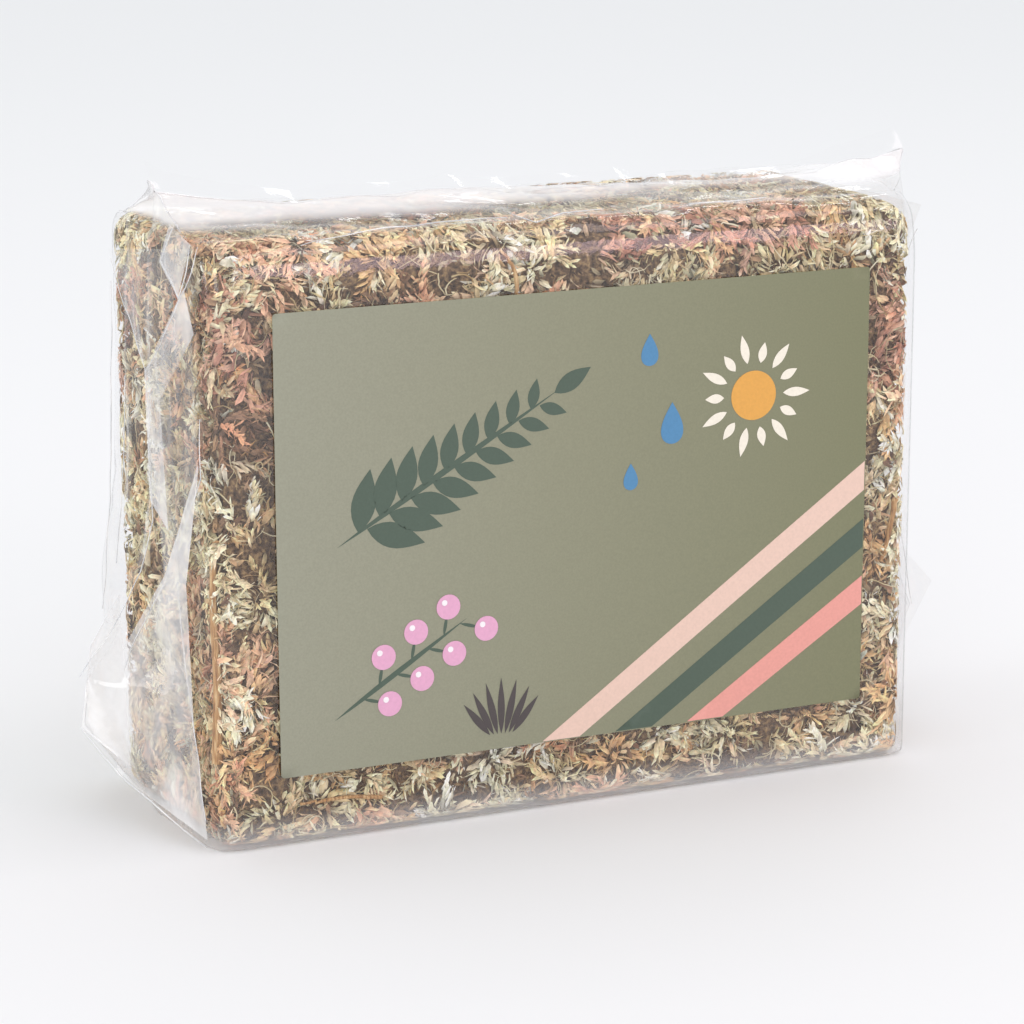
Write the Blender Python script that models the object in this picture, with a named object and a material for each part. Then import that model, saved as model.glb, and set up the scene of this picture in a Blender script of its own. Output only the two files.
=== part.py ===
"""A pressed block of dried long-fibre sphagnum moss in a clear film bag with a label.

Metres, +Z up, -Y towards the labelled front. The origin is on the ground under the
middle of the bag. The moss is a block of wads, each wad a mat of rosette heads whose
pointed leaves lean outwards, with a few woody stems lying at the surface.
"""

import math
import random

import bmesh
import bpy
from mathutils import Matrix, Vector

for leftover in list(bpy.data.objects):
    bpy.data.objects.remove(leftover)

# Driving dimensions
BLOCK = Vector((0.1510, 0.0542, 0.1165))  # the pressed moss over the tips of its leaves
BLOCK_CENTRE = Vector((0.0, 0.0003, 0.0590))
EDGE_RADIUS = 0.009  # the block's corners are pressed round by the film
FILM = 0.0004  # the bag's film, thicker than the real 0.08 mm
SEAT = 0.0003  # clearance between pieces that touch
LABEL = Vector((0.127, 0.0003, 0.090))
LABEL_FOOT = 0.014  # from the ground to the label's lower edge
LABEL_CORNER = 0.002

# The heads of the moss
CELLS = (30, 12, 24)  # leaves along each side of the block
HEAD = 3  # leaves across one head, on average
HEAD_DRIFT = 0.0055  # how far the middle of a head strays off the even grid
MISSING_HEADS = 0.14  # share of heads that have been swallowed by their neighbours
VALLEY = 0.0042  # depth of the dark gaps between heads
SHOULDER = 0.0019  # depth of the heads' own surface under the leaf tips
CROWN = 0.0002  # depth of the tuft in the middle of a head
LEAN = 0.0015  # how far a leaf's tip leans away from the middle of its head
TIP_DEPTH = (0.0003, 0.0021)
JITTER = 0.0009
WAD_DEPTH = 0.0078  # how deep a loose wad is bedded in the block
WAD_SEAT = 0.0006
SEED = 7

# The bag: how far its end folds stand out from the middle at each height
BAG_FRONT = -0.0275
BAG_BACK = 0.0281
BAG_HALF = 0.0764
LEFT_FOLD = ((0.0, 0.0790), (0.010, 0.0870), (0.020, 0.0940), (0.029, 0.0938), (0.044, 0.0850),
             (0.062, 0.0805), (0.088, 0.0795), (0.106, 0.0795), (0.1183, 0.0790))
RIGHT_FOLD = (0.0790, 0.0865, 0.0940, 0.0935, 0.0915, 0.0905, 0.0905, 0.0905, 0.0880)
BACK_LEFT = (0.0764, 0.0785, 0.0822, 0.0828, 0.0818, 0.0790, 0.0775, 0.0768, 0.0764)
SEAL_HEIGHT = 0.1212  # the top seal, lying low over the block
SEAL_ENDS = (-0.0770, 0.0880)
SEAL_STANDS = 0.0016  # height of the seal's strip above the roof of the bag
SEAL_EARS = (0.0050, 0.0022)  # how much higher the strip stands at its two ends
VENT_RADIUS = 0.002
VENT_AT = (0.045, 0.095)

COLOURS = {
    "buff": (0.52, 0.36, 0.21),
    "straw": (0.63, 0.54, 0.33),
    "rose": (0.46, 0.19, 0.13),
    "brown": (0.20, 0.11, 0.06),
    "wood": (0.42, 0.22, 0.10),
}


def material(name, colour, roughness, alpha=1.0):
    """A Principled material of one plain colour."""
    made = bpy.data.materials.new(name)
    made.use_nodes = True
    shader = made.node_tree.nodes["Principled BSDF"]
    shader.inputs["Base Color"].default_value = (*colour, 1.0)
    shader.inputs["Roughness"].default_value = roughness
    shader.inputs["Alpha"].default_value = alpha
    made.diffuse_color = (*colour, alpha)
    return made


def new_object(name, mesh, look):
    made = bpy.data.objects.new(name, mesh)
    bpy.context.collection.objects.link(made)
    mesh.materials.append(look)
    return made


# The surface of the block, as a lattice of leaves


def noise_at(key):
    """Three steady random numbers from -1 to 1 for one place of the lattice."""
    source = random.Random(SEED * 1000003 + key[0] * 40009 + key[1] * 613 + key[2] * 7 + len(key))
    return [source.uniform(-1, 1) for _ in range(3)]


def pressed(point, depth):
    """Rounds a point of the plain box over the block's edges and sinks it by depth."""
    core = Vector([max(-h / 2 + EDGE_RADIUS, min(h / 2 - EDGE_RADIUS, c)) for c, h in zip(point, BLOCK)])
    out = (point - core).normalized()
    return core + out * (EDGE_RADIUS - depth), out


def on_box(index):
    """The plain box's point at a lattice index, drifting in slow waves off the even grid."""
    x, y, z = (BLOCK[a] * (index[a] / CELLS[a] - 0.5) for a in range(3))
    along = [index[a] / CELLS[a] for a in range(3)]
    away = [math.sqrt(math.sin(math.pi * t)) if 0 < t < 1 else 0 for t in along]
    dx = 0.0022 * math.sin(z / 0.0085 + y / 0.011) + 0.0012 * math.sin(z / 0.0043 + 1.0)
    dz = 0.0022 * math.sin(x / 0.0095 + y / 0.013 + 2.0) + 0.0010 * math.sin(x / 0.0048)
    dy = 0.0014 * math.sin(x / 0.0080 + z / 0.0090)
    shake = noise_at(index)
    drift = (dx, dy, dz)
    return Vector([c + away[a] * (drift[a] + JITTER * shake[a]) for a, c in enumerate((x, y, z))])


def cells_of_block():
    """Every leaf's cell on the six sides: its four lattice corners, outward order, and its normal."""
    for axis in range(3):
        u, v = (axis + 1) % 3, (axis + 2) % 3
        for side in (0, CELLS[axis]):
            for a in range(CELLS[u]):
                for b in range(CELLS[v]):
                    corners = []
                    for da, db in ((0, 0), (1, 0), (1, 1), (0, 1)):
                        index = [0, 0, 0]
                        index[axis], index[u], index[v] = side, a + da, b + db
                        corners.append(tuple(index))
                    if side == 0:
                        corners.reverse()
                    yield corners, axis, side


def grid_head(corners):
    """The square group of cells that a cell would belong to on an even grid."""
    low = [min(c[a] for c in corners) for a in range(3)]
    return tuple((n + HEAD - 1) // HEAD for n in low)


def middle_of(corners):
    return sum((on_box(c) for c in corners), Vector()) / len(corners)


def share_out_heads(cells):
    """Gives each cell to the nearest head, the heads' middles straying off the even grid."""
    groups = {}
    for cell in cells:
        groups.setdefault(grid_head(cell[0]), []).append(middle_of(cell[0]))
    chance = random.Random(SEED + 1)
    middles = []
    for group in sorted(groups):
        stray = Vector([chance.uniform(-HEAD_DRIFT, HEAD_DRIFT) for _ in range(3)])
        if chance.random() > MISSING_HEADS:
            middles.append(pressed(sum(groups[group], Vector()) / len(groups[group]) + stray, 0)[0])
    owner = {}
    for cell in cells:
        here = pressed(middle_of(cell[0]), 0)[0]
        owner[cell[0]] = min(range(len(middles)), key=lambda n: (middles[n] - here).length)
    return owner


def cells_around(cells):
    """The cells that meet at each lattice corner."""
    around = {}
    for cell in cells:
        for corner in cell[0]:
            around.setdefault(corner, []).append(cell[0])
    return around


def pinches(corner, members):
    """True where just two of the cells at a corner are members and they touch only there."""
    if len(members) != 2:
        return False
    return len(set(members[0]) & set(members[1])) == 1


def join_pinches(owner, around):
    """Moves single cells to a neighbour until no head touches itself at a bare corner."""
    pending = True
    while pending:
        pending = False
        for corner, cells in sorted(around.items()):
            for head in {owner[c] for c in cells}:
                members = [c for c in cells if owner[c] == head]
                if pinches(corner, members):
                    others = [c for c in cells if owner[c] != head]
                    owner[members[1]] = owner[others[0]]
                    pending = True
                    break


CELL_LIST = [(tuple(corners), axis, side) for corners, axis, side in cells_of_block()]
CELLS_AT = cells_around(CELL_LIST)
HEAD_OF = share_out_heads(CELL_LIST)
join_pinches(HEAD_OF, CELLS_AT)
HEAD_CELLS = {}
for cell in CELL_LIST:
    HEAD_CELLS.setdefault(HEAD_OF[cell[0]], []).append(cell)
NEXT_TO = {head: set() for head in HEAD_CELLS}
EDGE_HEADS = {}
for head, cells in HEAD_CELLS.items():
    for corners, _, _ in cells:
        for n in range(4):
            edge = frozenset((corners[n], corners[(n + 1) % 4]))
            EDGE_HEADS.setdefault(edge, set()).add(head)
for pair in EDGE_HEADS.values():
    for head in pair:
        NEXT_TO[head] |= pair - {head}
MIDDLE = {head: middle_of([c for cell in cells for c in cell[0]]) for head, cells in HEAD_CELLS.items()}


def between_heads(index):
    """True for a lattice corner in the gap between heads."""
    return len({HEAD_OF[c] for c in CELLS_AT[index]}) > 1


# Woody stems and stalks that lie at the surface: ends on the plain box, and radius

STICKS = {
    "woody_stem": ((-0.0745, -0.0262, -0.042), (-0.0750, -0.0260, -0.002), 0.0012),
    "red_twig": ((-0.0130, -0.0271, 0.0425), (-0.0165, -0.0271, 0.0550), 0.0006),
    "brown_twig": ((0.0690, -0.0271, -0.0170), (0.0735, -0.0271, -0.0040), 0.0006),
    "straw_stalk": ((-0.0590, -0.0271, -0.0515), (-0.0420, -0.0271, -0.0530), 0.0005),
    "back_stem": ((0.0200, 0.0271, 0.0100), (0.0480, 0.0271, 0.0330), 0.0009),
}
STICK_POINTS = 14
GROOVE = 0.0060  # a stick's groove reaches this far to each side


def stick_axis(name):
    """The middle line of a stick, gently bent and lying on the block's rounded surface."""
    start, end, radius = STICKS[name]
    start, end = Vector(start), Vector(end)
    points = []
    for n in range(STICK_POINTS):
        t = n / (STICK_POINTS - 1)
        point = start.lerp(end, t)
        bow = math.sin(math.pi * t) * 0.0012
        point += Vector((bow, 0, bow * 0.5)) if abs(point.y) > 0.02 else Vector((bow, 0, 0))
        points.append(pressed(point, radius + 0.0004)[0])
    return points


STICK_AXES = {name: stick_axis(name) for name in STICKS}


def groove_depth(point):
    """How deep the moss lies at a point because a stick is pressed into it."""
    depth = 0.0
    for name, axis in STICK_AXES.items():
        nearest = min((point - p).length for p in axis)
        if nearest < GROOVE:
            depth = max(depth, 2 * STICKS[name][2] + 0.0010)
    return depth


# Wads: groups of heads of one colour, bedded in the block

WAD_PLACES = (
    ("rose", (0.0425, -0.0271, 0.0470), 1), ("rose", (-0.0690, -0.0271, 0.0410), 1),
    ("rose", (0.0041, -0.0271, 0.0500), 1), ("rose", (-0.0755, 0.0180, 0.0410), 2),
    ("rose", (-0.0650, -0.0271, -0.0410), 1), ("rose", (0.0670, -0.0271, 0.0280), 1),
    ("rose", (0.0610, -0.0271, -0.0330), 1), ("rose", (0.0755, 0.0050, 0.0050), 2),
    ("rose", (-0.0300, 0.0271, 0.0300), 2), ("rose", (0.0450, 0.0271, -0.0250), 2),
    ("rose", (-0.0300, -0.0020, 0.0583), 1),
    ("straw", (-0.0600, -0.0271, 0.0430), 1), ("straw", (0.0700, -0.0271, 0.0480), 2),
    ("straw", (-0.0755, -0.0070, 0.0140), 2), ("straw", (-0.0312, -0.0271, -0.0540), 2),
    ("straw", (0.0690, -0.0271, -0.0050), 2), ("straw", (0.0250, -0.0271, -0.0540), 2),
    ("straw", (-0.0690, -0.0271, -0.0170), 1), ("straw", (0.0150, 0.0040, 0.0583), 3),
    ("straw", (-0.0650, 0.0271, 0.0050), 3), ("straw", (0.0050, 0.0271, 0.0000), 4),
    ("straw", (0.0650, 0.0271, 0.0350), 3), ("straw", (-0.0150, 0.0271, -0.0420), 3),
    ("brown", (-0.0416, -0.0271, 0.0460), 1), ("brown", (-0.0755, -0.0147, 0.0235), 1),
    ("brown", (0.0755, 0.0120, -0.0350), 1), ("brown", (-0.0450, 0.0271, -0.0200), 2),
)


def touches_itself(heads):
    """True where a group of heads would meet itself at a bare corner."""
    cells = {cell[0] for head in heads for cell in HEAD_CELLS[head]}
    corners = {corner for cell in cells for corner in cell}
    return any(pinches(corner, [c for c in CELLS_AT[corner] if c in cells]) for corner in corners)


def grow_wads():
    """Beds a wad at each place, growing it over neighbouring heads of its own."""
    chance = random.Random(SEED)
    free = {head for head, cells in HEAD_CELLS.items() if all(c[2] for cell in cells for c in cell[0])}
    for head in list(free):
        points = [pressed(on_box(c), 0)[0] for cell in HEAD_CELLS[head] for c in cell[0]]
        if any(groove_depth(p) for p in points):
            free.discard(head)
    taken = {}
    made = []
    numbers = {}
    for colour, place, size in WAD_PLACES:
        wad = [min(sorted(free), key=lambda h: (MIDDLE[h] - Vector(place)).length)]
        while len(wad) < size:
            edge = sorted(
                h for w in wad for h in NEXT_TO[w]
                if h in free and h not in wad and not touches_itself([*wad, h])
            )
            if not edge:
                break
            wad.append(chance.choice(edge))
        for head in wad:
            taken[head] = len(made)
            free.discard(head)
        numbers[colour] = numbers.get(colour, 0) + 1
        made.append((f"{colour}_moss_{numbers[colour]}", colour, wad))
    return made, taken


WADS, WAD_OF_HEAD = grow_wads()


def under_wad(index):
    """The wad that covers a lattice corner on all sides, or None."""
    wads = {WAD_OF_HEAD.get(HEAD_OF[cell]) for cell in CELLS_AT[index]}
    return wads.pop() if len(wads) == 1 else None


def ground_depth(index):
    """Depth of a lattice corner in the heads' relief."""
    if index[2] == 0:
        return 0.0
    spread = noise_at((index[2], index[0], index[1], 1)[:3])[0]
    depth = VALLEY + 0.0007 * spread if between_heads(index) else SHOULDER + 0.0006 * spread
    return max(depth, groove_depth(pressed(on_box(index), 0)[0]))


def block_corner(index):
    """A lattice corner on the block itself, lowered where a wad is bedded."""
    depth = ground_depth(index)
    if under_wad(index) is not None:
        depth = WAD_DEPTH
    return pressed(on_box(index), depth)[0]


def leaf_tip(corners, axis, side, head):
    """The tip of the leaf on a cell, leaning away from the middle of its head."""
    points = [on_box(c) for c in corners]
    centre = sum(points, Vector()) / 4
    shake = noise_at((corners[0][1] + 3, corners[0][2] + 5, corners[0][0] + 11 * axis + side))
    away = centre - MIDDLE[head]
    away[axis] = 0
    crown = away.length < 0.0016
    turn = Matrix.Rotation(0.7 * shake[1], 3, "XYZ"[axis])
    lean = Vector() if crown else turn @ away.normalized() * LEAN * (0.75 + 0.2 * shake[2])
    tip = centre + lean
    tip[axis] = BLOCK[axis] * (0.5 if side else -0.5)
    shallow, deep = TIP_DEPTH
    depth = CROWN if crown else shallow + (deep - shallow) * (0.5 + 0.5 * shake[0])
    surface, _ = pressed(tip, 0)
    depth = max(depth, groove_depth(surface))
    return pressed(tip, depth)[0]


def add_cell(bm, corners, tip=None, flipped=False):
    """Adds a cell as a pointed leaf with four faces, or as two flat triangles."""
    if tip is not None:
        peak = bm.verts.new(tip)
        for n in range(4):
            bm.faces.new((corners[n], corners[(n + 1) % 4], peak))
        return
    a, b, c, d = corners
    for face in ((a, b, c), (a, c, d)):
        bm.faces.new(tuple(reversed(face)) if flipped else face)


def moss_block():
    """The block, with leaves everywhere but underneath and under the wads."""
    bm = bmesh.new()
    verts = {}
    for corners, axis, side in CELL_LIST:
        head = HEAD_OF[corners]
        for index in corners:
            if index not in verts:
                verts[index] = bm.verts.new(block_corner(index) + BLOCK_CENTRE)
        flat = (axis == 2 and side == 0) or head in WAD_OF_HEAD
        tip = None if flat else leaf_tip(corners, axis, side, head) + BLOCK_CENTRE
        add_cell(bm, [verts[c] for c in corners], tip)
    mesh = bpy.data.meshes.new("moss_block")
    bm.to_mesh(mesh)
    bm.free()
    return new_object("moss_block", mesh, material("pressed_buff_moss", COLOURS["buff"], 0.95))


def moss_wad(name, heads, look):
    """A wad: the leaves above, a low wall round it, and a floor that follows the block's bed."""
    cells = [cell for head in heads for cell in HEAD_CELLS[head]]
    toward = {}
    for corners, _, _ in cells:
        middle = middle_of(corners)
        for index in corners:
            toward.setdefault(index, Vector())
            toward[index] += middle - on_box(index)
    bm = bmesh.new()
    above, below = {}, {}
    for index, inward in toward.items():
        ground = ground_depth(index)
        if under_wad(index) is None:
            point, out = pressed(on_box(index), ground - WAD_SEAT)
            inward = (inward - out * inward.dot(out)).normalized() * WAD_SEAT
            below[index] = bm.verts.new(point + inward + BLOCK_CENTRE)
            above[index] = bm.verts.new(point + inward + out * WAD_SEAT + BLOCK_CENTRE)
        else:
            above[index] = bm.verts.new(pressed(on_box(index), ground)[0] + BLOCK_CENTRE)
            bed = pressed(on_box(index), WAD_DEPTH - WAD_SEAT)[0]
            below[index] = bm.verts.new(bed + BLOCK_CENTRE)
    for corners, axis, side in cells:
        tip = leaf_tip(corners, axis, side, HEAD_OF[corners]) + BLOCK_CENTRE
        add_cell(bm, [above[c] for c in corners], tip)
        add_cell(bm, [below[c] for c in corners], flipped=True)
    used = {}
    for corners, _, _ in cells:
        for n in range(4):
            edge = (corners[n], corners[(n + 1) % 4])
            used[edge] = used.get(edge, 0) + 1
    for first, second in used:
        if (second, first) not in used:
            wall = (above[second], above[first], below[first], below[second])
            bm.faces.new(wall[:3])
            bm.faces.new((wall[0], wall[2], wall[3]))
    mesh = bpy.data.meshes.new(name)
    bm.to_mesh(mesh)
    bm.free()
    return new_object(name, mesh, look)


def stick(name, look):
    """A stem: a thin tapering tube along its middle line."""
    points = STICK_AXES[name]
    radius = STICKS[name][2]
    curve = bpy.data.curves.new(name, "CURVE")
    curve.dimensions = "3D"
    curve.bevel_depth = radius
    curve.bevel_resolution = 1
    curve.use_fill_caps = True
    spline = curve.splines.new("POLY")
    spline.points.add(len(points) - 1)
    for n, point in enumerate(points):
        spline.points[n].co = (*(point + BLOCK_CENTRE), 1)
        spline.points[n].radius = 1.0 - 0.35 * n / (len(points) - 1)
    made = bpy.data.objects.new(name, curve)
    bpy.context.collection.objects.link(made)
    curve.materials.append(look)
    return made


# The bag


def bag_ring(bm, height, left, back_left, right):
    """One level of the film: flat front and back, with a fold standing out at each end."""
    middle = (BAG_FRONT + BAG_BACK) / 2
    outline = (
        (-BAG_HALF, BAG_FRONT), (BAG_HALF, BAG_FRONT), (right, middle),
        (BAG_HALF, BAG_BACK), (-back_left, BAG_BACK), (-left, middle),
    )
    return [bm.verts.new((x, y, height)) for x, y in outline]


def bag_shell():
    """The film as a closed outer shape: flat bottom, folded ends, roof up to the seal."""
    bm = bmesh.new()
    rings = []
    for (height, left), back_left, right in zip(LEFT_FOLD, BACK_LEFT, RIGHT_FOLD):
        rings.append(bag_ring(bm, height, left, back_left, right))
    bm.faces.new(reversed(rings[0]))
    for lower, upper in zip(rings, rings[1:]):
        for n in range(6):
            after = (n + 1) % 6
            bm.faces.new((lower[n], lower[after], upper[after], upper[n]))
    middle = (BAG_FRONT + BAG_BACK) / 2
    low_x, high_x = SEAL_ENDS
    seal = [bm.verts.new((x, middle, SEAL_HEIGHT)) for x in (low_x, high_x)]
    front_left, front_right, fold_right, back_right, back_left, fold_left = rings[-1]
    bm.faces.new((front_left, front_right, seal[1], seal[0]))
    bm.faces.new((back_right, back_left, seal[0], seal[1]))
    bm.faces.new((front_right, fold_right, seal[1]))
    bm.faces.new((fold_right, back_right, seal[1]))
    bm.faces.new((back_left, fold_left, seal[0]))
    bm.faces.new((fold_left, front_left, seal[0]))
    bmesh.ops.triangulate(bm, faces=bm.faces[:])
    mesh = bpy.data.meshes.new("bag")
    bm.to_mesh(mesh)
    bm.free()
    return mesh


def seal_strip():
    """The welded strip along the top, a little higher at its two ears."""
    middle = (BAG_FRONT + BAG_BACK) / 2
    low_x, high_x = SEAL_ENDS
    steps = 14
    bm = bmesh.new()
    sections = []
    for n in range(steps + 1):
        t = n / steps
        x = low_x + (high_x - low_x) * t
        ears = SEAL_EARS[0] * math.exp(-t * 9) + SEAL_EARS[1] * math.exp((t - 1) * 9)
        foot = SEAL_HEIGHT - 0.0009
        top = SEAL_HEIGHT + SEAL_STANDS + ears + 0.0005 * math.sin(t * 16)
        lean = 0.0010 * math.sin(t * 9)
        outline = ((-FILM, foot), (FILM, foot), (FILM + lean, top), (-FILM + lean, top))
        sections.append([bm.verts.new((x, middle + y, z)) for y, z in outline])
    for first, second in zip(sections, sections[1:]):
        for k in range(4):
            after = (k + 1) % 4
            bm.faces.new((first[k], first[after], second[after], second[k]))
    bm.faces.new(sections[0])
    bm.faces.new(reversed(sections[-1]))
    bmesh.ops.recalc_face_normals(bm, faces=bm.faces[:])
    bmesh.ops.triangulate(bm, faces=bm.faces[:])
    mesh = bpy.data.meshes.new("seal_strip")
    bm.to_mesh(mesh)
    bm.free()
    return mesh


def helper(name, mesh):
    """An object that only shapes another one."""
    made = bpy.data.objects.new(name, mesh)
    bpy.context.collection.objects.link(made)
    made.hide_render = True
    made.display_type = "WIRE"
    return made


def bag():
    """The bag: the film's wall, with the top seal joined on and a small air hole at the back."""
    made = new_object("bag", bag_shell(), material("clear_film", (0.85, 0.87, 0.88), 0.15, 0.25))
    wall = made.modifiers.new("film", "SOLIDIFY")
    wall.thickness = FILM
    wall.offset = -1
    wall.use_even_offset = True
    strip = made.modifiers.new("top_seal", "BOOLEAN")
    strip.operation = "UNION"
    strip.object = helper("top_seal_strip", seal_strip())
    cutter = bmesh.new()
    bmesh.ops.create_cone(
        cutter, cap_ends=True, segments=10, radius1=VENT_RADIUS, radius2=VENT_RADIUS, depth=0.004
    )
    bmesh.ops.rotate(cutter, verts=cutter.verts[:], matrix=turned_to_y())
    bmesh.ops.translate(cutter, verts=cutter.verts[:], vec=(VENT_AT[0], BAG_BACK, VENT_AT[1]))
    mesh = bpy.data.meshes.new("air_hole")
    cutter.to_mesh(mesh)
    cutter.free()
    hole = made.modifiers.new("air_hole", "BOOLEAN")
    hole.operation = "DIFFERENCE"
    hole.object = helper("air_hole_cutter", mesh)
    return made


def turned_to_y():
    """Turns a shape that stands along Z to lie along Y."""
    return Matrix.Rotation(math.pi / 2, 3, "X")


def label():
    """The printed label, a thin sheet with slightly rounded corners on the front of the bag."""
    bm = bmesh.new()
    half_x, top = LABEL.x / 2, LABEL_FOOT + LABEL.z
    back = BAG_FRONT - SEAT
    verts = []
    corners = (
        (half_x, LABEL_FOOT, -90), (half_x, top, 0), (-half_x, top, 90), (-half_x, LABEL_FOOT, 180)
    )
    for x, z, start in corners:
        cx = x - math.copysign(LABEL_CORNER, x)
        cz = z + (LABEL_CORNER if z == LABEL_FOOT else -LABEL_CORNER)
        for n in range(5):
            angle = math.radians(start + 22.5 * n)
            across, up = LABEL_CORNER * math.cos(angle), LABEL_CORNER * math.sin(angle)
            verts.append(bm.verts.new((cx + across, back, cz + up)))
    sheet = bm.faces.new(verts)
    front = bmesh.ops.extrude_face_region(bm, geom=[sheet])
    moved = [v for v in front["geom"] if isinstance(v, bmesh.types.BMVert)]
    bmesh.ops.translate(bm, verts=moved, vec=(0, -LABEL.y, 0))
    bmesh.ops.recalc_face_normals(bm, faces=bm.faces[:])
    mesh = bpy.data.meshes.new("label")
    bm.to_mesh(mesh)
    bm.free()
    return new_object("label", mesh, material("printed_label", (0.30, 0.32, 0.20), 0.5))


moss_block()
for colour in ("rose", "straw", "brown"):
    look = material(f"{colour}_moss", COLOURS[colour], 0.95)
    for wad_name, wad_colour, wad_heads in WADS:
        if wad_colour == colour:
            moss_wad(wad_name, wad_heads, look)
wood = material("stem_wood", COLOURS["wood"], 0.8)
for stick_name in STICKS:
    stick(stick_name, wood)
bag()
label()
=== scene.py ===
import math

import bmesh
import bpy
import numpy as np
from mathutils import Matrix, Vector, noise
from mathutils.kdtree import KDTree


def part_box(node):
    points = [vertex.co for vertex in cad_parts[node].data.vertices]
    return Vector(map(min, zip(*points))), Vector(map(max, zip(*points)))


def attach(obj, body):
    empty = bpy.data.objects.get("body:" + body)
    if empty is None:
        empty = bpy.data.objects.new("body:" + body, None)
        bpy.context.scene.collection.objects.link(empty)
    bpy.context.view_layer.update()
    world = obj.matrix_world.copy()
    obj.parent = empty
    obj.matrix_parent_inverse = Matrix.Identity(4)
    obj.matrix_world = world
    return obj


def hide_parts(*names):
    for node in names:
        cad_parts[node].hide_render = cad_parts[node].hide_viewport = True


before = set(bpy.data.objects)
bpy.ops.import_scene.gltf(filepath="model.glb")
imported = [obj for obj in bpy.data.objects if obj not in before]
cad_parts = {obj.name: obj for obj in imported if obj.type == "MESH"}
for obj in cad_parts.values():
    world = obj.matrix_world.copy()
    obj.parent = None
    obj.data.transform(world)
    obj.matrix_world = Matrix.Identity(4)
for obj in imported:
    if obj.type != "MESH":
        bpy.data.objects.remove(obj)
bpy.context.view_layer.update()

# Crumbled middle of the block: broken moss and peat dust pressed hard, seen only in
# the dark gaps between the heads. It is a rounded box with a rough, matt surface.

block_low, block_high = (np.array(c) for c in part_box("moss_block"))
block_low[2] = -0.0015  # at the foot the moss is pressed flat, so its round edge starts lower
block_centre = (block_low + block_high) / 2
block_half = (block_high - block_low) / 2
pressed_radius = 0.0046
core_depth = 0.0026
core_roughness = 0.0012
core_cells = 56
back_bulge = 0.0022  # how far the back left edge of the block stands out
worn_corner = 0.0095  # the radius of the block's top right corner, seen from the front
shoulder = 0.0032  # how far the front leans back above the label


def linear(hex_colour):
    """An sRGB hex colour as linear numbers."""
    parts = [int(hex_colour[n:n + 2], 16) / 255 for n in (1, 3, 5)]
    return [c / 12.92 if c <= 0.04045 else ((c + 0.055) / 1.055) ** 2.4 for c in parts]


def add_node(tree, kind, links=(), **settings):
    """Adds a node with its settings, and links (socket, source) pairs into it."""
    made = tree.nodes.new(kind)
    for name, value in settings.items():
        if name.startswith("in_"):
            made.inputs[name[3:].replace("_", " ")].default_value = value
        else:
            setattr(made, name, value)
    for socket, source in links:
        tree.links.new(source, made.inputs[socket])
    return made


def new_material(name, **values):
    """A material with its Principled node, its values set by socket name."""
    made = bpy.data.materials.new(name)
    made.use_nodes = True
    shader = made.node_tree.nodes["Principled BSDF"]
    for socket, value in values.items():
        shader.inputs[socket.replace("_", " ")].default_value = value
    return made, made.node_tree, shader


def ramp(tree, factor, stops):
    """A colour ramp through (place, hex colour) stops."""
    made = add_node(tree, "ShaderNodeValToRGB", [("Fac", factor)])
    band = made.color_ramp
    while len(band.elements) < len(stops):
        band.elements.new(0.5)
    for element, (place, colour) in zip(band.elements, stops):
        element.position = place
        element.color = (*linear(colour), 1)
    return made


def show(name, mesh, look, smooth=True):
    """Puts a finished mesh in the scene as a piece that stands on the ground with the rest."""
    if smooth:
        mesh.shade_smooth()
    mesh.materials.append(look)
    made = bpy.data.objects.new(name, mesh)
    bpy.context.scene.collection.objects.link(made)
    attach(made, "root")
    return made


def heights(points):
    """Splits points into the middle box, the outward direction and the height over the film."""
    local = points - block_centre
    core = np.clip(local, pressed_radius - block_half, block_half - pressed_radius)
    away = local - core
    reach = np.linalg.norm(away, axis=1)
    out = away / np.maximum(reach, 1e-9)[:, None]
    return core, out, reach - pressed_radius


def leaned(y, z):
    """How far a place on the front is pushed back by the rounded shoulder over the label."""
    return shoulder * np.clip((z - 0.1040) / 0.0135, 0, 1) ** 2 * np.clip((block_centre[1] - y) / 0.020, 0, 1)


def at_height(core, out, height):
    """Puts points back at a height, with the bulging back left edge and the worn right corner."""
    made = block_centre + core + out * (pressed_radius + height)[:, None]
    made[:, 0] -= back_bulge * np.clip((made[:, 1] + 0.004) / 0.018, 0, 1) * np.clip((-made[:, 0] - 0.060) / 0.012, 0, 1)
    past = np.maximum(made[:, [0, 2]] - (block_high[[0, 2]] - worn_corner), 0)
    reach = np.maximum(np.linalg.norm(past, axis=1), worn_corner)
    made[:, [0, 2]] -= past * (1 - worn_corner / reach)[:, None]
    made[:, 1] += leaned(made[:, 1], made[:, 2])
    low = made[:, 2] < 0.0016
    made[low, 2] = 0.0006 + 0.0010 * np.exp((made[low, 2] - 0.0016) / 0.0010)
    return made


# Dry peat dust: brown-black, quite matt, with paler crumbs a millimetre across.
peat, tree, shader = new_material("crumbled_peat", Roughness=0.95)
place = add_node(tree, "ShaderNodeTexCoord").outputs["Object"]
crumbs = add_node(tree, "ShaderNodeTexNoise", [("Vector", place)], in_Scale=1100.0, in_Detail=6.0)
crumb_colours = ramp(tree, crumbs.outputs["Fac"], ((0.32, "#3A2A1E"), (0.50, "#735A42"), (0.68, "#B09268")))
tree.links.new(crumb_colours.outputs["Color"], shader.inputs["Base Color"])
bump = add_node(tree, "ShaderNodeBump", [("Height", crumbs.outputs["Fac"])], in_Distance=0.0008)
tree.links.new(bump.outputs["Normal"], shader.inputs["Normal"])

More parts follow.
